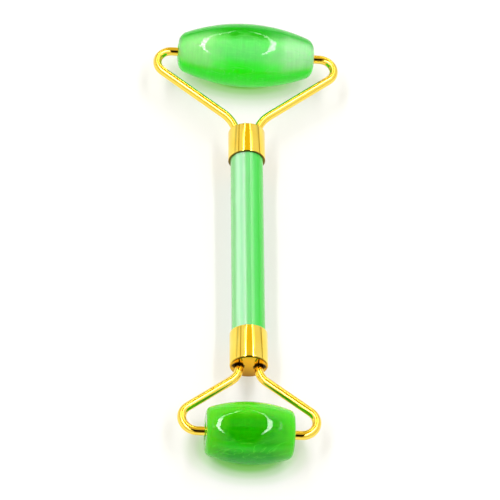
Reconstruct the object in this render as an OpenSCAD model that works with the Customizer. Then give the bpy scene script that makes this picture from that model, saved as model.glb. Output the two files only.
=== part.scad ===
// Two-ended face roller: a large barrel roller and a small one, each turning on
// its own gold-plated wire yoke, joined by a straight polished stone handle.
// Lengths are in millimetres. +Y runs along the handle to the large roller,
// +X along the roller axles, +Z up. The roller lies on both barrels, with the
// origin at the middle of its footprint on the surface below.

/* [Overall] */
// Distance between the two roller axles
roller_spacing = 131.8; // [110:0.1:150]

/* [Large roller] */
// Length of the large barrel
large_len = 40.4; // [30:0.1:46]
// Diameter of the large barrel at its middle
large_dia = 18.9; // [14:0.1:24]
// Diameter its long curve would reach at the end plane
large_end_dia = 10.2; // [8:0.1:18]
// Rounding of the barrel's ends
large_round = 3.4; // [0.5:0.1:4]

/* [Small roller] */
// Length of the small barrel
small_len = 24.4; // [16:0.1:32]
// Diameter of the small barrel at its middle
small_dia = 17.4; // [12:0.1:22]
// Diameter its long curve would reach at the end plane
small_end_dia = 12.8; // [8:0.1:18]
// Rounding of the barrel's ends
small_round = 1.9; // [0.5:0.1:3]

/* [Handle] */
// Diameter of the stone handle
handle_dia = 9.5; // [7:0.1:12]
// How far the stone sits inside each cap
handle_in_cap = 5.4; // [3:0.1:8]
// Diameter of the steel rod through the stone
rod_dia = 2.4; // [1.5:0.1:3]

/* [Caps] */
// Outside diameter of both gold caps
cap_dia = 10.8; // [9:0.1:14]
// Length of the cap at the large roller's end
large_cap_len = 10.1; // [7:0.1:14]
// Length of the cap at the small roller's end
small_cap_len = 10.8; // [7:0.1:14]
// Distance from the large axle to the face of its cap
large_cap_dist = 29.1; // [24:0.1:36]
// Distance from the small axle to the face of its cap
small_cap_dist = 21.6; // [18:0.1:28]
// Thickness of the flat end wall
cap_end = 1.2; // [0.8:0.1:2]
// Small bevel at both rims
cap_bevel = 0.25; // [0.1:0.05:0.4]

/* [Wire yokes] */
// Diameter of the wire
wire_dia = 2.54; // [2:0.02:3.2]
// Half width of the large yoke, to the middle of the wire
large_yoke_half = 26.3; // [22:0.1:30]
// Angle of the large yoke's arms from the axle
large_arm_angle = 39; // [30:0.5:55]
// Half width of the small yoke, to the middle of the wire
small_yoke_half = 18.7; // [15:0.1:22]
// Angle of the small yoke's arms from the axle
small_arm_angle = 37; // [30:0.5:55]
// Radius of the bend beside each roller
knee_r = 4.3; // [3:0.1:6]
// Radius of the large yoke's bend into the cap
large_neck_r = 11.0; // [6:0.1:14]
// Radius of the small yoke's bend into the cap
small_neck_r = 5.2; // [4:0.1:9]
// Offset of each wire leg from the middle of the cap
leg_x = 2.8; // [2.4:0.05:3.2]
// How far each leg runs on inside the cap
leg_in_cap = 3.8; // [2:0.1:5]

/* [Bushes] */
// Outside diameter of the nylon bushes
bush_dia = 4.6; // [4:0.1:6]
// Radial running clearance between axle and bush
axle_clear = 0.05; // [0.02:0.01:0.1]
// Length of each bush in the large roller
large_bush_len = 9.0; // [5:0.1:14]
// Length of each bush in the small roller
small_bush_len = 6.5; // [4:0.1:9]
// How far each bush sits below the barrel's end
bush_recess = 0.5; // [0.2:0.1:1]

/* [Hidden] */
wire_r = wire_dia / 2;
handle_r = handle_dia / 2;
glue = 0.05;
seam = 0.02;
large_z = large_dia / 2;
small_z = small_dia / 2;
mid_y = (small_z - large_z) / 2;
mid_z = (small_z + large_z) / 2;
tilt = atan((large_z - small_z) / roller_spacing);
large_y = roller_spacing / 2;
small_y = -roller_spacing / 2;
large_face = large_y - large_cap_dist;
small_face = small_y + small_cap_dist;
stone_hi = large_face - large_cap_len + handle_in_cap;
stone_lo = small_face + small_cap_len - handle_in_cap;
large_stub = large_len / 2 - large_bush_len + 0.8;
small_stub = small_len / 2 - small_bush_len + 0.6;

// The rigid middle part leans a little, because the large barrel is thicker.
module lean() { translate([0, mid_y, mid_z]) rotate([tilt, 0, 0]) children(); }

// Barrel of revolution along X: one long arc, rounded ends, drilled through.
function arc_rho(h, sag) = (h * h + sag * sag) / (2 * sag);
function barrel_half(h, r, re, rn, na, nf) =
  let (rho = arc_rho(h, r - re), c0 = r - rho, cx = h - rn,
       cr = c0 + sqrt(pow(rho - rn, 2) - cx * cx), t1 = atan(cx / (cr - c0)))
  concat([for (i = [0:na]) let (t = t1 * i / na) [c0 + rho * cos(t), rho * sin(t)]],
         [for (i = [1:nf]) let (t = t1 + (90 - t1) * i / nf) [cr + rn * cos(t), cx + rn * sin(t)]]);
module barrel(len, dia, end_dia, rn, bore_r) {
  half = barrel_half(len / 2, dia / 2, end_dia / 2, rn, 12, 5);
  n = len(half);
  top = [for (p = half) p];
  low = [for (i = [n - 1:-1:1]) [half[i][0], -half[i][1]]];
  rotate([0, 90, 0]) rotate_extrude($fn = 72)
    polygon(concat([[bore_r, -len / 2]], low, top, [[bore_r, len / 2]]));
}

// One arm of a yoke in the XY plane, roller axle on X, cap towards +Y.
module arm(half_w, ang, neck_r, face_u, stub_x) {
  xs = half_w - knee_r;
  x1 = xs + knee_r * sin(ang);
  u1 = knee_r * (1 + cos(ang));
  turn = 90 - ang;
  tl = neck_r * tan(turn / 2);
  uc = u1 + (x1 - leg_x) * tan(ang);
  run = (x1 - leg_x) / cos(ang) - tl;
  u_end = uc + tl;
  $fn = 24;
  translate([stub_x, 0, 0]) rotate([0, 90, 0]) {
    cylinder(r = wire_r, h = xs - stub_x - seam);
    translate([0, 0, xs - stub_x]) core();
  }
  translate([xs, knee_r, 0]) rotate([0, 0, -90])
    rotate_extrude(angle = 180 - ang, $fn = 72) translate([knee_r, 0]) circle(r = wire_r, $fn = 24);
  translate([x1, u1, 0]) rotate([0, 0, 180 - ang]) rotate([0, 90, 0]) {
    core();
    translate([0, 0, seam]) cylinder(r = wire_r, h = run - 2 * seam);
    translate([0, 0, run]) core();
  }
  translate([leg_x + neck_r, u_end, 0]) rotate([0, 0, 180])
    rotate_extrude(angle = turn, $fn = 72) translate([neck_r, 0]) circle(r = wire_r, $fn = 24);
  translate([leg_x, u_end, 0]) rotate([-90, 0, 0]) {
    core();
    translate([0, 0, seam]) cylinder(r = wire_r, h = face_u + leg_in_cap - u_end - seam);
  }
}
// Short solid core that carries the wire across from a bend to a straight.
module core() { translate([0, 0, -0.4]) cylinder(r = wire_r - 0.15, h = 0.8, $fn = 24); }

// Cap: a bevelled cup, mouth towards -Y, flat end wall with two leg holes at +Y.
module cap(len) {
  b = cap_bevel;
  difference() {
    rotate([90, 0, 0]) union() {
      cylinder(r1 = cap_dia / 2 - b, r2 = cap_dia / 2, h = b, $fn = 64);
      translate([0, 0, b]) cylinder(r = cap_dia / 2, h = len - 2 * b, $fn = 64);
      translate([0, 0, len - b]) cylinder(r1 = cap_dia / 2, r2 = cap_dia / 2 - b, h = b, $fn = 64);
    }
    translate([0, -cap_end, 0]) rotate([90, 0, 0]) cylinder(r = handle_r + glue, h = len, $fn = 64);
    for (s = [-1, 1]) translate([s * leg_x, 1, 0]) rotate([90, 0, 0]) cylinder(r = wire_r, h = cap_end + 2, $fn = 24);
  }
}

// Hard filling between the end wall and the stone, cast round the legs and rod.
module filling(len) {
  t = len - cap_end - handle_in_cap;
  difference() {
    translate([0, -cap_end, 0]) rotate([90, 0, 0]) cylinder(r = handle_r + glue, h = t, $fn = 64);
    for (s = [-1, 1]) translate([s * leg_x, 1, 0]) rotate([90, 0, 0]) cylinder(r = wire_r, h = leg_in_cap + 1, $fn = 24);
    translate([0, -cap_end - t - 1, 0]) rotate([-90, 0, 0]) cylinder(r = rod_dia / 2, h = 1 + t * 0.6, $fn = 32);
  }
}

module bush(len) {
  rotate([0, 90, 0]) difference() {
    cylinder(r = bush_dia / 2, h = len, $fn = 40);
    translate([0, 0, -1]) cylinder(r = wire_r + axle_clear, h = len + 2, $fn = 40);
  }
}

module handle_stone() {
  color([0.35, 0.80, 0.42]) lean() difference() {
    translate([0, stone_lo, 0]) rotate([-90, 0, 0]) cylinder(r = handle_r, h = stone_hi - stone_lo, $fn = 64);
    translate([0, stone_lo - 1, 0]) rotate([-90, 0, 0]) cylinder(r = rod_dia / 2, h = stone_hi - stone_lo + 2, $fn = 32);
  }
}
module handle_rod() {
  t_hi = large_cap_len - cap_end - handle_in_cap;
  t_lo = small_cap_len - cap_end - handle_in_cap;
  color([0.70, 0.71, 0.73]) lean() translate([0, stone_lo - 0.6 * t_lo, 0]) rotate([-90, 0, 0])
    cylinder(r = rod_dia / 2, h = stone_hi - stone_lo + 0.6 * (t_lo + t_hi), $fn = 32);
}
module large_end_cap() { color([0.93, 0.73, 0.25]) lean() translate([0, large_face, 0]) cap(large_cap_len); }
module small_end_cap() { color([0.93, 0.73, 0.25]) lean() translate([0, small_face, 0]) rotate([0, 0, 180]) cap(small_cap_len); }
module large_cap_filling() { color([0.82, 0.80, 0.70]) lean() translate([0, large_face, 0]) filling(large_cap_len); }
module small_cap_filling() { color([0.82, 0.80, 0.70]) lean() translate([0, small_face, 0]) rotate([0, 0, 180]) filling(small_cap_len); }

module large_arm() { arm(large_yoke_half, large_arm_angle, large_neck_r, large_cap_dist, large_stub); }
module small_arm() { arm(small_yoke_half, small_arm_angle, small_neck_r, small_cap_dist, small_stub); }
module large_yoke_left_arm() { color([0.93, 0.73, 0.25]) lean() translate([0, large_y, 0]) rotate([0, 0, 180]) large_arm(); }
module large_yoke_right_arm() { color([0.93, 0.73, 0.25]) lean() translate([0, large_y, 0]) rotate([180, 0, 0]) large_arm(); }
module small_yoke_left_arm() { color([0.93, 0.73, 0.25]) lean() translate([0, small_y, 0]) rotate([0, 180, 0]) small_arm(); }
module small_yoke_right_arm() { color([0.93, 0.73, 0.25]) lean() translate([0, small_y, 0]) small_arm(); }

module at_large() { translate([0, mid_y + large_y, large_z]) children(); }
module at_small() { translate([0, mid_y + small_y, small_z]) children(); }
module large_roller_stone() { color([0.20, 0.80, 0.25]) at_large() barrel(large_len, large_dia, large_end_dia, large_round, bush_dia / 2); }
module small_roller_stone() { color([0.20, 0.75, 0.20]) at_small() barrel(small_len, small_dia, small_end_dia, small_round, bush_dia / 2); }
module large_bush_left() { color([0.92, 0.92, 0.88]) at_large() translate([-large_len / 2 + bush_recess, 0, 0]) bush(large_bush_len); }
module large_bush_right() { color([0.92, 0.92, 0.88]) at_large() translate([large_len / 2 - bush_recess - large_bush_len, 0, 0]) bush(large_bush_len); }
module small_bush_left() { color([0.92, 0.92, 0.88]) at_small() translate([-small_len / 2 + bush_recess, 0, 0]) bush(small_bush_len); }
module small_bush_right() { color([0.92, 0.92, 0.88]) at_small() translate([small_len / 2 - bush_recess - small_bush_len, 0, 0]) bush(small_bush_len); }

handle_stone();
handle_rod();
large_end_cap();
small_end_cap();
large_cap_filling();
small_cap_filling();
large_yoke_left_arm();
large_yoke_right_arm();
small_yoke_left_arm();
small_yoke_right_arm();
large_roller_stone();
large_bush_left();
large_bush_right();
small_roller_stone();
small_bush_left();
small_bush_right();
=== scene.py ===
import bpy, bmesh, math
from mathutils import Matrix, Vector


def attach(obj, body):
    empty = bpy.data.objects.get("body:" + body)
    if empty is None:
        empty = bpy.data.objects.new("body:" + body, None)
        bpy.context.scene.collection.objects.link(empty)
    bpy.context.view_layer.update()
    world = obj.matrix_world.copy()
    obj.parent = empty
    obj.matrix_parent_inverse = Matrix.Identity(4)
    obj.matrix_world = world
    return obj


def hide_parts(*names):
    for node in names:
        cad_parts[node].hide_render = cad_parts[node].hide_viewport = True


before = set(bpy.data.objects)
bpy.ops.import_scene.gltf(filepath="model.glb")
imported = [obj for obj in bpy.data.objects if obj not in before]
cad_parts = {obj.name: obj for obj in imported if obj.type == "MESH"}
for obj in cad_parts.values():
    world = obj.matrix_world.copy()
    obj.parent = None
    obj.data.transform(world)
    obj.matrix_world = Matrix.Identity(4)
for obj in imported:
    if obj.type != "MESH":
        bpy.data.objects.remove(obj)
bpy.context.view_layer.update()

MM = 0.001
# ---------------------------------------------------------------- sizes (mm), the same as the solids
SPACING = 131.8
L_LEN, L_DIA, L_END, L_RND = 40.4, 18.9, 10.2, 3.4
S_LEN, S_DIA, S_END, S_RND = 24.4, 17.4, 12.8, 1.9
H_DIA, IN_CAP, CAP_DIA, CAP_END = 9.5, 5.4, 10.8, 1.2
L_CAP, S_CAP, L_DIST, S_DIST = 10.1, 10.8, 29.1, 21.6
WIRE_R, KNEE_R, LEG_X, LEG_IN = 1.27, 4.3, 2.8, 3.8
L_HALF, L_ANG, L_NECK, L_STUB = 26.3, 39.0, 11.0, L_LEN / 2 - 9.0 + 0.8
S_HALF, S_ANG, S_NECK, S_STUB = 18.7, 37.0, 5.2, S_LEN / 2 - 6.5 + 0.6
BUSH_R, ROD_R, GLUE = 2.3, 1.2, 0.05
MID_Y, MID_Z = (S_DIA - L_DIA) / 4, (S_DIA + L_DIA) / 4
TILT = math.atan((L_DIA - S_DIA) / 2 / SPACING)
LY, SY = SPACING / 2, -SPACING / 2
L_FACE, S_FACE = LY - L_DIST, SY + S_DIST
LEAN = Matrix.Translation((0, MID_Y * MM, MID_Z * MM)) @ Matrix.Rotation(TILT, 4, "X")
LC = Vector((0, (MID_Y + LY) * MM, L_DIA / 2 * MM))
SC = Vector((0, (MID_Y + SY) * MM, S_DIA / 2 * MM))

# ---------------------------------------------------------------- mesh helpers
def new_object(name, bm, smooth_deg=38):
    me = bpy.data.meshes.new(name)
    bmesh.ops.recalc_face_normals(bm, faces=bm.faces)
    bm.to_mesh(me); bm.free()
    ob = bpy.data.objects.new(name, me)
    bpy.context.scene.collection.objects.link(ob)
    for p in me.polygons:
        p.use_smooth = True
    lim = math.radians(smooth_deg)
    bm = bmesh.new(); bm.from_mesh(me)
    for e in bm.edges:
        if len(e.link_faces) == 2 and e.calc_face_angle(0) > lim:
            e.smooth = False
    bm.to_mesh(me); bm.free()
    return ob

def lathe(name, loop, segs, place, wobble=None):
    """A closed profile [(along, radius)], in mm, turned about the local Y axis."""
    bm = bmesh.new()
    n = len(loop)
    rings = []
    for i in range(segs):
        a = 2 * math.pi * i / segs
        ring = []
        for s, r in loop:
            k = wobble(s, a) if wobble else 0.0
            ring.append(bm.verts.new(place @ Vector(((r + k * (r > 3)) * math.sin(a) * MM, s * MM, (r + k * (r > 3)) * math.cos(a) * MM))))
        rings.append(ring)
    for i in range(segs):
        A, B = rings[i], rings[(i + 1) % segs]
        for j in range(n):
            k = (j + 1) % n
            bm.faces.new((A[j], A[k], B[k], B[j]))
    return new_object(name, bm)

def barrel_loop(length, dia, end_dia, rnd, bore, mouth=0.35):
    """Half profile of a barrel: one long arc, rounded ends, a bore with softened mouths."""
    h, r, re = length / 2, dia / 2, end_dia / 2
    sag = r - re
    rho = (h * h + sag * sag) / (2 * sag)
    c0 = r - rho
    cx = h - rnd
    cr = c0 + math.sqrt((rho - rnd) ** 2 - cx * cx)
    t1 = math.atan2(cx, cr - c0)
    half = [(rho * math.sin(t1 * i / 40), c0 + rho * math.cos(t1 * i / 40)) for i in range(41)]
    half += [(cx + rnd * math.sin(t1 + (math.pi / 2 - t1) * i / 14), cr + rnd * math.cos(t1 + (math.pi / 2 - t1) * i / 14)) for i in range(1, 15)]
    for i in range(5):
        t = math.pi / 2 * i / 4
        half.append((h - mouth + mouth * math.cos(t), bore + mouth - mouth * math.sin(t)))
    return half + [(-s, q) for s, q in reversed(half)][:-1]

def rounded(pts, rad, n=5):
    """Rounds the listed corners of a closed profile: pts are (s, r, round?)."""
    out = []
    m = len(pts)
    for i, (s, r, rd) in enumerate(pts):
        if not rd:
            out.append((s, r)); continue
        p = Vector((s, r)); a = Vector(pts[i - 1][:2]); b = Vector(pts[(i + 1) % m][:2])
        u, v = (a - p).normalized(), (b - p).normalized()
        rk = rad * rd
        c = p + (u + v) * rk
        for k in range(n + 1):
            t = math.pi / 2 * k / n
            q = c - v * rk * math.cos(t) - u * rk * math.sin(t)
            out.append((q.x, q.y))
    return out

def arm_path(half_w, ang, neck_r, face_u, stub_x):
    """Centre line of one bent wire in the yoke's plane: (x, u, heading)."""
    a = math.radians(ang)
    xs = half_w - KNEE_R
    x1, u1 = xs + KNEE_R * math.sin(a), KNEE_R * (1 + math.cos(a))
    turn = math.pi / 2 - a
    tl = neck_r * math.tan(turn / 2)
    uc = u1 + (x1 - LEG_X) * math.tan(a)
    run = (x1 - LEG_X) / math.cos(a) - tl
    end = uc + tl
    pts = [(stub_x + (xs - stub_x) * i / 6, 0.0, 0.0) for i in range(6)]
    pts += [(xs + KNEE_R * math.sin(t), KNEE_R * (1 - math.cos(t)), t) for t in [(math.pi - a) * i / 48 for i in range(49)]]
    pts += [(x1 - math.cos(a) * run * i / 12, u1 + math.sin(a) * run * i / 12, math.pi - a) for i in range(1, 12)]
    for i in range(25):
        g = turn * (1 - i / 24)
        pts.append((LEG_X + neck_r - neck_r * math.cos(g), end - neck_r * math.sin(g), math.pi / 2 + g))
    pts += [(LEG_X, end + (face_u + LEG_IN - end) * i / 3, math.pi / 2) for i in range(1, 4)]
    return pts

def tube(name, path, place, r=WIRE_R, sides=40):
    bm = bmesh.new()
    rings = []
    first, last = path[0], path[-1]
    stations = [(first, 0.72, 0.0), (first, 0.93, 0.12), (first, 1.0, 0.35)]
    stations += [(p, 1.0, 0.0) for p in path[1:-1]]
    stations += [(last, 1.0, -0.35), (last, 0.93, -0.12), (last, 0.72, 0.0)]
    for (x, u, h), k, ahead in stations:
        d = Vector((math.cos(h), math.sin(h), 0)); nrm = Vector((-math.sin(h), math.cos(h), 0))
        c = Vector((x, u, 0)) + d * ahead
        rings.append([bm.verts.new(place @ ((c + nrm * (r * k * math.cos(2 * math.pi * i / sides)) + Vector((0, 0, 1)) * (r * k * math.sin(2 * math.pi * i / sides))) * MM)) for i in range(sides)])
    for A, B in zip(rings, rings[1:]):
        for i in range(sides):
            j = (i + 1) % sides
            bm.faces.new((A[i], A[j], B[j], B[i]))
    bm.faces.new(rings[0]); bm.faces.new(list(reversed(rings[-1])))
    return new_object(name, bm)

# ---------------------------------------------------------------- node helpers
def material(name):
    m = bpy.data.materials.new(name)
    m.use_nodes = True
    nt = m.node_tree
    return m, nt, nt.nodes["Principled BSDF"]

def N(nt, kind, **kw):
    n = nt.nodes.new(kind)
    for k, v in kw.items():
        setattr(n, k, v)
    return n

def math_node(nt, op, a, b=None, c=None, clamp=False):
    n = N(nt, "ShaderNodeMath", operation=op, use_clamp=clamp)
    for i, v in enumerate((a, b, c)):
        if v is None:
            continue
        if isinstance(v, (int, float)):
            n.inputs[i].default_value = v
        else:
            nt.links.new(v, n.inputs[i])
    return n.outputs[0]

def ramp(nt, fac, stops, interp="LINEAR"):
    n = N(nt, "ShaderNodeValToRGB")
    cr = n.color_ramp
    cr.interpolation = interp
    while len(cr.elements) < len(stops):
        cr.elements.new(0.5)
    for e, (p, c) in zip(cr.elements, stops):
        e.position = p
        e.color = (c, c, c, 1) if isinstance(c, (int, float)) else (*c, 1)
    nt.links.new(fac, n.inputs[0])
    return n.outputs[0]

def mix(nt, fac, a, b, mode="MIX"):
    n = N(nt, "ShaderNodeMix", data_type="RGBA", blend_type=mode)
    for sock, v in ((n.inputs[0], fac), (n.inputs[6], a), (n.inputs[7], b)):
        if isinstance(v, (int, float)):
            sock.default_value = v
        elif isinstance(v, tuple):
            sock.default_value = (*v, 1)
        else:
            nt.links.new(v, sock)
    return n.outputs[2]

def local_coords(nt, centre, rot_x=0.0):
    """Object coordinates, in mm, about a point on the piece."""
    tc = N(nt, "ShaderNodeTexCoord")
    sub = N(nt, "ShaderNodeVectorMath", operation="SUBTRACT")
    nt.links.new(tc.outputs["Object"], sub.inputs[0])
    sub.inputs[1].default_value = centre
    mul = N(nt, "ShaderNodeVectorMath", operation="SCALE")
    nt.links.new(sub.outputs[0], mul.inputs[0])
    mul.inputs["Scale"].default_value = 1000
    return mul.outputs[0]

def stretched_noise(nt, vec, scale_xyz, scale, detail=3, rough=0.5, dist=0.0):
    mp = N(nt, "ShaderNodeMapping")
    mp.inputs["Scale"].default_value = scale_xyz
    nt.links.new(vec, mp.inputs["Vector"])
    n = N(nt, "ShaderNodeTexNoise")
    n.inputs["Scale"].default_value = scale
    n.inputs["Detail"].default_value = detail
    n.inputs["Roughness"].default_value = rough
    n.inputs["Distortion"].default_value = dist
    nt.links.new(mp.outputs[0], n.inputs["Vector"])
    return n.outputs["Fac"]

def bump(nt, bsdf, height, strength, dist):
    b = N(nt, "ShaderNodeBump")
    b.inputs["Strength"].default_value = strength
    b.inputs["Distance"].default_value = dist
    nt.links.new(height, b.inputs["Height"])
    nt.links.new(b.outputs[0], bsdf.inputs["Normal"])

def stone_settings(p, sss=0.45, radius=(0.25, 1.0, 0.3), scale=0.0035, rough=0.06):
    p.inputs["Subsurface Weight"].default_value = sss
    p.inputs["Subsurface Radius"].default_value = radius
    p.inputs["Subsurface Scale"].default_value = scale
    p.inputs["IOR"].default_value = 1.54
    p.inputs["Specular IOR Level"].default_value = 0.25
    p.inputs["Coat Weight"].default_value = 0.0

def roller_material(name, centre, half, base, shade_sheen_zones, end_col, end_stops, end_fade, cloud, veins, tint, scale):
    """Silky green stone: fibres round the barrel; painted shade, a painted sheen band and painted light let through,
    each set by angle round it; paler ends, strongest on the upper front; cloudy veins.
    """
    m, nt, p = material(name)
    v = local_coords(nt, centre)
    sep = N(nt, "ShaderNodeSeparateXYZ"); nt.links.new(v, sep.inputs[0])
    X, Y, Z = sep.outputs
    fibres = stretched_noise(nt, v, (1.0, 0.05, 0.05), 2.6, 4, 0.6)
    fine = stretched_noise(nt, v, (1.0, 0.03, 0.03), 7.0, 2, 0.5)
    clouds = stretched_noise(nt, v, (0.45, 1.0, 1.0), cloud, 5, 0.55, 0.6)
    rad = math_node(nt, "SQRT", math_node(nt, "ADD", math_node(nt, "MULTIPLY", Y, Y), math_node(nt, "MULTIPLY", Z, Z)))
    rad = math_node(nt, "MAXIMUM", rad, 0.5)
    yn, zn = math_node(nt, "DIVIDE", Y, rad), math_node(nt, "DIVIDE", Z, rad)
    col = mix(nt, ramp(nt, clouds, [(0.30, 0.0), (0.72, 1.0)]), base, tint)
    wob = math_node(nt, "MULTIPLY_ADD", clouds, 0.16, -0.08)
    # painted light and shade: each entry recolours one part of the barrel by angle round it, as shade, sheen band and
    # light let through, fixed to the stone
    for deg, stops, zc in shade_sheen_zones:
        c, q = -math.cos(math.radians(deg)), math.sin(math.radians(deg))
        d = math_node(nt, "ADD", math_node(nt, "MULTIPLY", yn, c), math_node(nt, "MULTIPLY", zn, q))
        ang = math_node(nt, "DIVIDE", math_node(nt, "ARCCOSINE", math_node(nt, "MINIMUM", math_node(nt, "MAXIMUM", d, -1.0), 1.0)), math.pi)
        f = ramp(nt, math_node(nt, "ADD", ang, wob), [(g / 180, k) for g, k in stops], "EASE")
        col = mix(nt, f, col, zc)
    end = math_node(nt, "DIVIDE", math_node(nt, "ABSOLUTE", X), half)
    end = math_node(nt, "ADD", end, math_node(nt, "MULTIPLY_ADD", clouds, 0.3, -0.15))
    d = math_node(nt, "ADD", math_node(nt, "MULTIPLY", yn, -0.5), math_node(nt, "MULTIPLY", zn, 0.866))
    keep = ramp(nt, math_node(nt, "MULTIPLY_ADD", d, 0.5, 0.5), [(0.81, 1 - end_fade), (0.985, 1.0)], "EASE")
    left = math_node(nt, "MULTIPLY_ADD", X, -0.5 / half, 0.5, clamp=True)
    col = mix(nt, math_node(nt, "MULTIPLY", ramp(nt, end, end_stops, "EASE"), keep), col, mix(nt, left, end_col[0], end_col[1]))
    vein = ramp(nt, stretched_noise(nt, v, (0.35, 1.1, 1.1), veins[0], 3, 0.5, 1.6), [(0.47, 0.0), (0.5, 1.0), (0.53, 0.0)], "EASE")
    deg, spread = veins[3:]
    d = math_node(nt, "ADD", math_node(nt, "MULTIPLY", yn, -math.cos(math.radians(deg))), math_node(nt, "MULTIPLY", zn, math.sin(math.radians(deg))))
    here = ramp(nt, math_node(nt, "MULTIPLY_ADD", d, 0.5, 0.5), [((1 + math.cos(math.radians(spread))) / 2, 0.12), (1.0, 1.0)], "EASE")
    col = mix(nt, math_node(nt, "MULTIPLY", math_node(nt, "MULTIPLY", vein, here), veins[1]), col, veins[2])
    f = math_node(nt, "MULTIPLY_ADD", fibres, 0.24, 0.88)
    f = math_node(nt, "MULTIPLY", f, math_node(nt, "MULTIPLY_ADD", fine, 0.12, 0.94))
    g = N(nt, "ShaderNodeCombineColor"); [nt.links.new(f, g.inputs[i]) for i in range(3)]
    col = mix(nt, 1.0, col, g.outputs[0], "MULTIPLY")
    nt.links.new(col, p.inputs["Base Color"])
    nt.links.new(math_node(nt, "MULTIPLY_ADD", clouds, 0.03, 0.005), p.inputs["Roughness"])
    stone_settings(p, 1.0, (0.12, 1.0, 0.15), scale)
    bump(nt, p, stretched_noise(nt, v, (1, 1, 1), 0.35, 2, 0.4), 0.08, 0.0004)
    return m

def handle_material():
    m, nt, p = material("handle_green_stone")
    v = local_coords(nt, (0, MID_Y * MM, MID_Z * MM))
    sep = N(nt, "ShaderNodeSeparateXYZ"); nt.links.new(v, sep.inputs[0])
    fibres = stretched_noise(nt, v, (1.0, 0.02, 1.0), 1.9, 4, 0.6)
    clouds = stretched_noise(nt, v, (1.0, 0.12, 1.0), 0.55, 4, 0.5, 0.4)
    # painted highlights, painted reflections and painted shade: the lengthwise bands are coloured by position across
    # the handle, standing for reflected lamps and sheen, and stay fixed to the stone
    side = math_node(nt, "MULTIPLY_ADD", sep.outputs[0], 0.5 / 4.75, 0.5)
    side = math_node(nt, "ADD", side, math_node(nt, "MULTIPLY_ADD", clouds, 0.06, -0.03))
    col = ramp(nt, side, [(0.0, (0.21, 0.60, 0.21)), (0.09, (0.20, 0.56, 0.22)), (0.15, (0.38, 0.70, 0.45)), (0.20, (0.38, 0.70, 0.45)), (0.27, (0.275, 0.62, 0.36)), (0.35, (0.34, 0.60, 0.40)), (0.43, (0.155, 0.53, 0.20)), (0.53, (0.115, 0.51, 0.16)), (0.58, (0.17, 0.59, 0.20)), (0.61, (0.17, 0.59, 0.20)), (0.67, (0.08, 0.53, 0.105)), (0.80, (0.05, 0.52, 0.06)), (0.87, (0.070, 0.57, 0.075)), (1.0, (0.12, 0.60, 0.12))])
    f = math_node(nt, "MULTIPLY_ADD", fibres, 0.26, 0.87)
    g = N(nt, "ShaderNodeCombineColor"); [nt.links.new(f, g.inputs[i]) for i in range(3)]
    col = mix(nt, 1.0, col, g.outputs[0], "MULTIPLY")
    nt.links.new(col, p.inputs["Base Color"])
    nt.links.new(math_node(nt, "MULTIPLY_ADD", clouds, 0.05, 0.03), p.inputs["Roughness"])
    stone_settings(p, 0.35, (0.3, 1.0, 0.35), 0.0012)
    bump(nt, p, stretched_noise(nt, v, (1, 0.1, 1), 0.5, 2, 0.4), 0.05, 0.0002)
    return m

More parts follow.
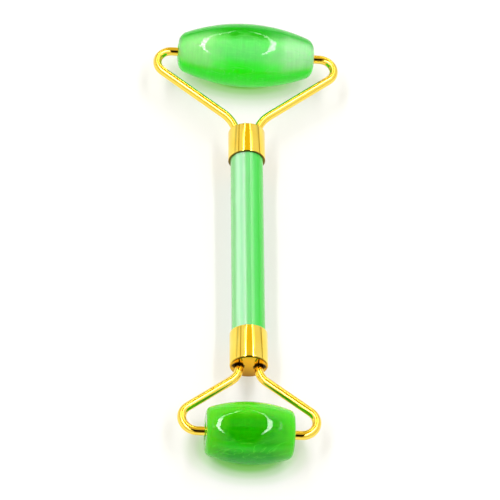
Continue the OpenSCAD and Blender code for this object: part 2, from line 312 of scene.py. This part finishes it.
def gold_material(name, rough=0.08, along=(1, 0.05, 1), face=None, relief=0.04, bands=()):
    m, nt, p = material(name)
    v = local_coords(nt, (0, 0, 0))
    tone = stretched_noise(nt, v, (1, 1, 1), 0.22, 3, 0.5)
    scratch = stretched_noise(nt, v, along, 9.0, 3, 0.6)
    specks = stretched_noise(nt, v, (1, 1, 1), 3.0, 2, 0.5)
    col = ramp(nt, tone, [(0.25, (1.0, 0.69, 0.080)), (0.5, (1.0, 0.72, 0.100)), (0.75, (1.0, 0.75, 0.125))])
    if face is not None:
        sep = N(nt, "ShaderNodeSeparateXYZ"); nt.links.new(local_coords(nt, face), sep.inputs[0])
        X, Y, Z = sep.outputs
        # painted shade and painted reflection of the shadowed floor: the small cap's end face is darker and browner
        # towards the bottom
        face_shade = ramp(nt, math_node(nt, "MULTIPLY_ADD", Z, -1 / 10.8, 0.5), [(0.0, (0.98, 0.74, 0.30)), (0.45, (0.88, 0.62, 0.14)), (1.0, (0.36, 0.22, 0.05))])
        near = math_node(nt, "MULTIPLY_ADD", Y, 0.5, 0.5, clamp=True)
        hx = math_node(nt, "SUBTRACT", math_node(nt, "ABSOLUTE", X), LEG_X)
        ring = math_node(nt, "SQRT", math_node(nt, "ADD", math_node(nt, "MULTIPLY", hx, hx), math_node(nt, "MULTIPLY", Z, Z)))
        # painted shade: a dark ring round each wire hole on the end face
        face_shade = mix(nt, ramp(nt, math_node(nt, "MULTIPLY", ring, 0.25), [(0.335, 1.0), (0.39, 0.6), (0.45, 0.0)]), face_shade, (0.10, 0.055, 0.012))
        rad = math_node(nt, "SQRT", math_node(nt, "ADD", math_node(nt, "MULTIPLY", X, X), math_node(nt, "MULTIPLY", Z, Z)))
        # painted shade and painted dark reflection: a dark line along the upper rim edge of the end face
        rim_shade = math_node(nt, "MULTIPLY", ramp(nt, math_node(nt, "MULTIPLY", rad, 0.1), [(0.485, 0.0), (0.505, 1.0)]), ramp(nt, math_node(nt, "MULTIPLY_ADD", Z, 0.1, 0.5), [(0.62, 0.0), (0.78, 1.0)]))
        face_shade = mix(nt, math_node(nt, "MULTIPLY", rim_shade, 0.85), face_shade, (0.12, 0.06, 0.01))
        # painted shadow: a near-black patch on the upper outer part of each wire hole
        up = math_node(nt, "DIVIDE", math_node(nt, "MULTIPLY_ADD", hx, 0.6, math_node(nt, "MULTIPLY", Z, 0.8)), math_node(nt, "MAXIMUM", ring, 0.5))
        hole_shadow = math_node(nt, "MULTIPLY", ramp(nt, math_node(nt, "MULTIPLY", ring, 0.25), [(0.46, 1.0), (0.60, 0.0)]), ramp(nt, math_node(nt, "MULTIPLY_ADD", up, 0.5, 0.5), [(0.58, 0.0), (0.84, 1.0)]))
        face_shade = mix(nt, hole_shadow, face_shade, (0.02, 0.012, 0.002))
        col = mix(nt, ramp(nt, near, [(0.53, 1.0), (0.68, 0.0)]), col, mix(nt, 1.0, col, face_shade, "MULTIPLY"))
    for y, half_w, k in bands:   # shadowed seams where the wires go in and at the cap's mouth
        sep = N(nt, "ShaderNodeSeparateXYZ"); nt.links.new(local_coords(nt, (0, y * MM, 0)), sep.inputs[0])
        f = ramp(nt, math_node(nt, "DIVIDE", math_node(nt, "ABSOLUTE", sep.outputs[1]), half_w), [(0.55, k), (1.0, 0.0)])
        col = mix(nt, f, col, (0.05, 0.03, 0.006))
    nt.links.new(col, p.inputs["Base Color"])
    p.inputs["Metallic"].default_value = 1.0
    r = math_node(nt, "ADD", math_node(nt, "MULTIPLY_ADD", scratch, 0.06, rough - 0.03), math_node(nt, "MULTIPLY", ramp(nt, specks, [(0.62, 0.0), (0.75, 1.0)]), 0.06))
    nt.links.new(r, p.inputs["Roughness"])
    bump(nt, p, scratch, relief, 0.00004)
    return m

def plain_material(name, c1, c2, rough, scale, metallic=0.0, stretch=(1, 1, 1), bump_s=0.1):
    m, nt, p = material(name)
    v = local_coords(nt, (0, 0, 0))
    n = stretched_noise(nt, v, stretch, scale, 4, 0.55)
    nt.links.new(ramp(nt, n, [(0.3, c1), (0.7, c2)]), p.inputs["Base Color"])
    nt.links.new(math_node(nt, "MULTIPLY_ADD", n, 0.2, rough - 0.1), p.inputs["Roughness"])
    p.inputs["Metallic"].default_value = metallic
    bump(nt, p, n, bump_s, 0.0001)
    return m

# ---------------------------------------------------------------- camera
def set_camera(e, az, roll, dist, fpx, tx, ty):
    e, az, roll = math.radians(e), math.radians(az), math.radians(roll)
    d = Vector((math.sin(az) * math.cos(e), -math.cos(az) * math.cos(e), math.sin(e)))
    target = Vector((tx, ty + MID_Y, 9.0)) * MM
    fwd = -d
    r = fwd.cross(Vector((0, 0, 1))).normalized()
    u = r.cross(fwd)
    r2 = r * math.cos(roll) + u * math.sin(roll)
    u2 = u * math.cos(roll) - r * math.sin(roll)
    cam = bpy.data.cameras.new("camera")
    ob = bpy.data.objects.new("camera", cam)
    bpy.context.scene.collection.objects.link(ob)
    m = Matrix((r2, u2, -fwd)).transposed().to_4x4()
    m.translation = target + d * dist * MM
    ob.matrix_world = m
    cam.sensor_width = 36
    cam.lens = fpx * 36 / 500
    cam.clip_start, cam.clip_end = 0.01, 20
    bpy.context.scene.camera = ob
set_camera(54.4, -8.811, 10.132, 916.26, 3208.95, 0.685, -4.595)

# ---------------------------------------------------------------- pieces
to_x = Matrix.Rotation(-math.pi / 2, 4, "Z")   # local Y axis to +X
large = lathe("large_barrel", barrel_loop(L_LEN, L_DIA, L_END, L_RND, BUSH_R), 256, Matrix.Translation(LC) @ to_x)
small = lathe("small_barrel", barrel_loop(S_LEN, S_DIA, S_END, S_RND, BUSH_R), 256, Matrix.Translation(SC) @ to_x)
hi, lo = L_FACE - L_CAP + IN_CAP, S_FACE + S_CAP - IN_CAP
handle = lathe("handle_bar", rounded([(lo, ROD_R, 0), (lo, H_DIA / 2, 1), *[(lo + (hi - lo) * i / 24, H_DIA / 2, 0) for i in range(1, 24)], (hi, H_DIA / 2, 1), (hi, ROD_R, 0)], 0.3), 192, LEAN)

def cap_mesh(name, face, length, flip, edge=1):
    """A turned cup with softened rims; its end wall is drilled for the two wires."""
    R, r = CAP_DIA / 2, H_DIA / 2 + GLUE
    prof = rounded([(0, 0.0, 0), (0, R, edge), (-length, R, 1), (-length, r, 0), (-CAP_END, r, 0), (-CAP_END, 0.0, 0)], 0.28)
    prof = [(s, q) for s, q in prof]
    place = LEAN @ Matrix.Translation((0, face * MM, 0)) @ (Matrix.Rotation(math.pi, 4, "Z") if flip else Matrix.Identity(4))
    segs = 192
    bm = bmesh.new()
    rings = []
    for s, q in prof:
        if q == 0.0:
            rings.append([bm.verts.new(place @ Vector((0, s * MM, 0)))])
        else:
            rings.append([bm.verts.new(place @ Vector((q * math.sin(2 * math.pi * i / segs) * MM, s * MM, q * math.cos(2 * math.pi * i / segs) * MM))) for i in range(segs)])
    for A, B in zip(rings, rings[1:]):
        for i in range(segs):
            j = (i + 1) % segs
            if len(A) == 1:
                bm.faces.new((A[0], B[i], B[j]))
            elif len(B) == 1:
                bm.faces.new((A[i], B[0], A[j]))
            else:
                bm.faces.new((A[i], B[i], B[j], A[j]))
    ob = new_object(name, bm)
    cut = bmesh.new()
    for sx in (-1, 1):
        vs = []
        for s, q in ((0.6, WIRE_R + 0.36), (0.0, WIRE_R + 0.30), (-0.22, WIRE_R + 0.08), (-CAP_END - 0.6, WIRE_R + 0.08)):
            vs.append([cut.verts.new(place @ Vector(((sx * LEG_X + q * math.cos(2 * math.pi * i / 48)) * MM, s * MM, q * math.sin(2 * math.pi * i / 48) * MM))) for i in range(48)])
        for A, B in zip(vs, vs[1:]):
            for i in range(48):
                j = (i + 1) % 48
                cut.faces.new((A[i], A[j], B[j], B[i]))
        cut.faces.new(vs[0]); cut.faces.new(list(reversed(vs[-1])))
    cutter = new_object(name + "_cutter", cut)
    mod = ob.modifiers.new("holes", "BOOLEAN")
    mod.object, mod.operation, mod.solver = cutter, "DIFFERENCE", "EXACT"
    dg = bpy.context.evaluated_depsgraph_get()
    me = bpy.data.meshes.new_from_object(ob.evaluated_get(dg))
    ob.modifiers.clear()
    ob.data = me
    bpy.data.objects.remove(cutter)
    bm = bmesh.new(); bm.from_mesh(me)
    bmesh.ops.remove_doubles(bm, verts=bm.verts, dist=1e-7)
    for f in bm.faces:
        f.smooth = True
    for e in bm.edges:
        e.smooth = not (len(e.link_faces) == 2 and e.calc_face_angle(0) > math.radians(32))
    bm.to_mesh(me); bm.free()
    return ob
large_cap = cap_mesh("large_cap", L_FACE, L_CAP, False)
small_cap = cap_mesh("small_cap", S_FACE, S_CAP, True, 1.8)

at_l = LEAN @ Matrix.Translation((0, LY * MM, 0))
at_s = LEAN @ Matrix.Translation((0, SY * MM, 0))
lp = arm_path(L_HALF, L_ANG, L_NECK, L_DIST, L_STUB)
sp = arm_path(S_HALF, S_ANG, S_NECK, S_DIST, S_STUB)
wires = {
    "large_yoke_left_arm": tube("large_wire_left", lp, at_l @ Matrix.Rotation(math.pi, 4, "Z")),
    "large_yoke_right_arm": tube("large_wire_right", lp, at_l @ Matrix.Rotation(math.pi, 4, "X")),
    "small_yoke_left_arm": tube("small_wire_left", sp, at_s @ Matrix.Rotation(math.pi, 4, "Y")),
    "small_yoke_right_arm": tube("small_wire_right", sp, at_s),
}

# ---------------------------------------------------------------- materials
# large barrel: painted shade on the top and back, a painted sheen band facing the view, a painted bright front
# standing for light let through
large_mat = roller_material("large_green_stone", LC, L_LEN / 2, (0.055, 0.67, 0.058),
    [(112, [(0, 1.0), (20, 0.92), (42, 0.0)], (0.0, 0.34, 0.0)),
     (60, [(0, 1.0), (12, 0.8), (32, 0.0)], (0.132, 0.61, 0.155)),
     (8, [(0, 1.0), (16, 0.85), (42, 0.0)], (0.010, 0.79, 0.0))],
    ((0.375, 0.69, 0.405), (0.26, 0.65, 0.21)), [(0.20, 0.0), (0.42, 0.28), (0.62, 0.82), (0.80, 0.85), (1.0, 0.62)], 0.94, 0.16,
    (0.22, 0.30, (0.18, 0.70, 0.18), 50, 60), (0.085, 0.69, 0.088), 0.012)
# small barrel: painted light and shade set by angle round it: a lighter top and back, a narrow painted highlight
# streak in front, the lower front kept deep green
small_mat = roller_material("small_green_stone", SC, S_LEN / 2, (0.010, 0.32, 0.0),
    [(122, [(0, 1.0), (12, 0.8), (38, 0.0)], (0.088, 0.51, 0.014)),
     (29, [(0, 0.85), (4, 0.6), (14, 0.0)], (0.022, 0.52, 0.003)),
     (342, [(0, 1.0), (20, 0.85), (40, 0.0)], (0.0, 0.35, 0.0))],
    ((0.058, 0.49, 0.002), (0.082, 0.46, 0.001)), [(0.42, 0.0), (0.68, 0.45), (0.88, 0.9), (1.0, 1.0)], 0.10, 0.20,
    (0.20, 0.55, (0.085, 0.62, 0.022), 24, 26), (0.014, 0.36, 0.0), 0.010)
handle_mat = handle_material()
gold_cap = gold_material("gold_plating", 0.09, (1, 0.06, 1), bands=((MID_Y + L_FACE - L_CAP, 0.19, 0.85),))
gold_small = gold_material("gold_plating_small_cap", 0.09, (1, 0.06, 1), (0.0, (MID_Y + S_FACE) * MM, (MID_Z + S_FACE * math.sin(TILT)) * MM))
gold_wire = gold_material("gold_plated_wire", 0.055, (0.5, 0.5, 0.5), None, 0.012, ((MID_Y + S_FACE, 0.95, 0.9), (MID_Y + L_FACE, 0.8, 0.9)))
for ob, mat, slot in ((large, large_mat, "large_stone"), (small, small_mat, "small_stone"), (handle, handle_mat, "handle_stone"), (large_cap, gold_cap, "gold"), (small_cap, gold_small, "gold")):
    ob.data.materials.clear(); ob.data.materials.append(mat)
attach(large, "large_roller"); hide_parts("large_roller_stone")
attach(small, "small_roller"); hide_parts("small_roller_stone")
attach(handle, "handle"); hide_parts("handle_stone")
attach(large_cap, "handle"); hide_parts("large_end_cap")
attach(small_cap, "handle"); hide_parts("small_end_cap")
for node, ob in wires.items():
    ob.data.materials.append(gold_wire)
    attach(ob, "handle"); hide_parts(node)
steel = plain_material("drawn_steel", (0.52, 0.53, 0.55), (0.66, 0.67, 0.69), 0.32, 2.2, 1.0, (1, 0.05, 1), 0.08)
resin = plain_material("cast_resin", (0.60, 0.57, 0.44), (0.72, 0.69, 0.56), 0.45, 0.9)
nylon = plain_material("natural_nylon", (0.74, 0.74, 0.68), (0.86, 0.86, 0.81), 0.42, 1.6)
for node, mat in (("handle_rod", steel), ("large_cap_filling", resin), ("small_cap_filling", resin), ("large_bush_left", nylon), ("large_bush_right", nylon), ("small_bush_left", nylon), ("small_bush_right", nylon)):
    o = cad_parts[node]
    o.data.materials.clear(); o.data.materials.append(mat)

# ---------------------------------------------------------------- floor, light
bm = bmesh.new()
bmesh.ops.create_circle(bm, cap_ends=True, segments=96, radius=6.0)
floor = new_object("floor", bm)
fm, nt, p = material("pale_floor")
v = local_coords(nt, (0, 0, 0))
n = stretched_noise(nt, v, (1, 1, 1), 0.02, 3, 0.5)
col = ramp(nt, n, [(0.3, (0.428, 0.430, 0.456)), (0.7, (0.440, 0.442, 0.468))])
glow = (1.0, 0.985, 0.93)
sep = N(nt, "ShaderNodeSeparateXYZ"); nt.links.new(v, sep.inputs[0])
# painted light: a pool of green light with a stronger green core is painted into the floor's colour and glow under
# each roller
for c, ax, k, lit in ((LC, 23.0, 0.70, (0.40, 1.0, 0.14)), (SC, 16.5, 1.0, (0.25, 0.82, 0.10))):   # green light let through the translucent rollers
    dx = math_node(nt, "DIVIDE", sep.outputs[0], ax)
    dy = math_node(nt, "DIVIDE", math_node(nt, "SUBTRACT", sep.outputs[1], c.y * 1000), 11.0)
    q = math_node(nt, "SQRT", math_node(nt, "ADD", math_node(nt, "MULTIPLY", dx, dx), math_node(nt, "MULTIPLY", dy, dy)))
    f = ramp(nt, math_node(nt, "MULTIPLY", q, 0.8), [(0.0, 1.0), (0.30, 1.0), (0.46, 0.85 * k), (0.60, 0.40 * k), (0.74, 0.13 * k), (0.92, 0.0)], "EASE")
    col = mix(nt, f, col, (0.14, 0.40, 0.05))
    glow = mix(nt, f, glow, lit)
    core_glow = ramp(nt, math_node(nt, "MULTIPLY", q, 0.8), [(0.0, 1.0), (0.26, 1.0), (0.42, 0.0)], "EASE")
    glow = mix(nt, core_glow, glow, (0.06, 0.62, 0.02))
    col = mix(nt, core_glow, col, (0.03, 0.30, 0.01))
nt.links.new(col, p.inputs["Base Color"])
p.inputs["Roughness"].default_value = 0.7
p.inputs["Specular IOR Level"].default_value = 0.1
nt.links.new(glow, p.inputs["Emission Color"])
p.inputs["Emission Strength"].default_value = 0.42
floor.data.materials.append(fm)
floor.location.z = -0.00002

WORLD = 1.0
world = bpy.data.worlds.new("studio")
bpy.context.scene.world = world
world.use_nodes = True
nt = world.node_tree
bg = nt.nodes["Background"]
tc = N(nt, "ShaderNodeTexCoord")
sep = N(nt, "ShaderNodeSeparateXYZ"); nt.links.new(tc.outputs["Generated"], sep.inputs[0])
X, Y, Z = sep.outputs
zc = math_node(nt, "MAXIMUM", Z, 0.02)
s = math_node(nt, "DIVIDE", X, zc)
t = math_node(nt, "DIVIDE", Y, zc)

def smooth(v, lo, hi):
    n = N(nt, "ShaderNodeMapRange", interpolation_type="SMOOTHSTEP")
    nt.links.new(v, n.inputs[0])
    n.inputs[1].default_value, n.inputs[2].default_value = lo, hi
    return n.outputs[0]

def mul(*v):
    out = v[0]
    for q in v[1:]:
        out = math_node(nt, "MULTIPLY", out, q)
    return out

inv = lambda v: math_node(nt, "SUBTRACT", 1.0, v)
sa = math_node(nt, "ABSOLUTE", s)
tf = math_node(nt, "MULTIPLY_ADD", t, 0.25, 0.25, clamp=True)
T = lambda q: (q + 1) / 4
path = mix(nt, math_node(nt, "GREATER_THAN", s, 0.0),
           ramp(nt, tf, [(T(-0.70), 0.50), (T(-0.35), 0.515), (T(-0.10), 0.50), (T(0.20), 0.455), (T(0.60), 0.42), (T(0.80), 0.39), (T(1.10), 0.26), (T(1.30), 0.17), (T(1.8), 0.06)]),
           ramp(nt, tf, [(T(-0.75), 0.300), (T(-0.25), 0.380), (T(0.0), 0.395), (T(0.40), 0.388), (T(0.90), 0.355), (T(1.1), 0.32), (T(1.3), 0.28), (T(1.74), 0.20)]))
width = ramp(nt, tf, [(T(-0.80), 0.010), (T(-0.45), 0.028), (T(-0.10), 0.043), (T(0.40), 0.042), (T(0.80), 0.027), (T(1.3), 0.024), (T(2.0), 0.012)])
power = ramp(nt, tf, [(T(-0.85), 0.0), (T(-0.60), 0.50), (T(-0.35), 1.0), (T(0.38), 1.0), (T(0.64), 0.42), (T(0.88), 0.42), (T(1.15), 0.60), (T(1.5), 0.30), (T(2.1), 0.0)])
off = math_node(nt, "DIVIDE", math_node(nt, "ABSOLUTE", math_node(nt, "SUBTRACT", sa, path)), width)
strip = mul(inv(smooth(off, 0.75, 1.2)), power, math_node(nt, "MULTIPLY_ADD", math_node(nt, "LESS_THAN", s, 0.0), 0.2, 1.0))
faint = mul(smooth(sa, 0.575, 0.60), inv(smooth(sa, 0.635, 0.665)), smooth(t, -0.28, -0.10), inv(smooth(t, 0.3, 0.55)))
edge = mul(smooth(sa, 0.41, 0.44), inv(smooth(sa, 0.54, 0.64)), smooth(t, 0.60, 0.64), inv(smooth(t, 0.92, 1.0)))
psi = math_node(nt, "ARCTAN2", X, zc)
fac = math_node(nt, "MULTIPLY_ADD", psi, 1 / math.pi, 0.5, clamp=True)
A = lambda deg: 0.5 + deg / 180
W, G, D = (1.0, 1.0, 1.0), (0.60, 0.50, 0.24), (0.55, 0.40, 0.05)
wide = ramp(nt, fac, [(0.0, W), (A(-60), W), (A(-56.5), D), (A(-52.5), D), (A(-49), (0.96, 0.96, 0.94)), (A(-32), (0.92, 0.90, 0.84)), (A(-20), G), (A(20), G), (A(32), (0.92, 0.90, 0.84)), (A(76), (0.92, 0.92, 0.90)), (A(79), D), (A(83), D), (A(86), W), (1.0, W)])
camzone = mul(inv(smooth(t, -0.24, -0.14)), smooth(t, -2.3, -1.9), inv(smooth(sa, 0.28, 0.44)))
high_back = mul(smooth(t, 1.5, 3.2), 0.35)
low_front = mul(inv(smooth(t, -3.6, -1.9)), 0.5)
level = mul(math_node(nt, "MULTIPLY_ADD", camzone, -0.98, 1.0), inv(low_front), inv(high_back), WORLD)
card = mul(inv(smooth(sa, 0.35, 0.42)), smooth(t, 0.36, 0.50), inv(smooth(t, 1.0, 1.2)))
g = N(nt, "ShaderNodeCombineColor"); [nt.links.new(level, g.inputs[i]) for i in range(3)]
room = mix(nt, card, mix(nt, 1.0, wide, g.outputs[0], "MULTIPLY"), (0.86, 0.66, 0.05))
lamps = math_node(nt, "ADD", mul(strip, 22.0), math_node(nt, "ADD", mul(faint, 4.0), mul(edge, 0.9)))
g = N(nt, "ShaderNodeCombineColor"); [nt.links.new(lamps, g.inputs[i]) for i in range(3)]
room = mix(nt, 1.0, room, g.outputs[0], "ADD")
nt.links.new(mix(nt, smooth(Z, 0.085, 0.125), (0.97, 0.97, 0.965), room), bg.inputs["Color"])
bg.inputs["Strength"].default_value = 1.0

sc = bpy.context.scene
sc.view_settings.view_transform = "Standard"
sc.view_settings.look = "None"
sc.view_settings.exposure = 0.0
sc.view_settings.gamma = 1.0

bpy.context.view_layer.update()
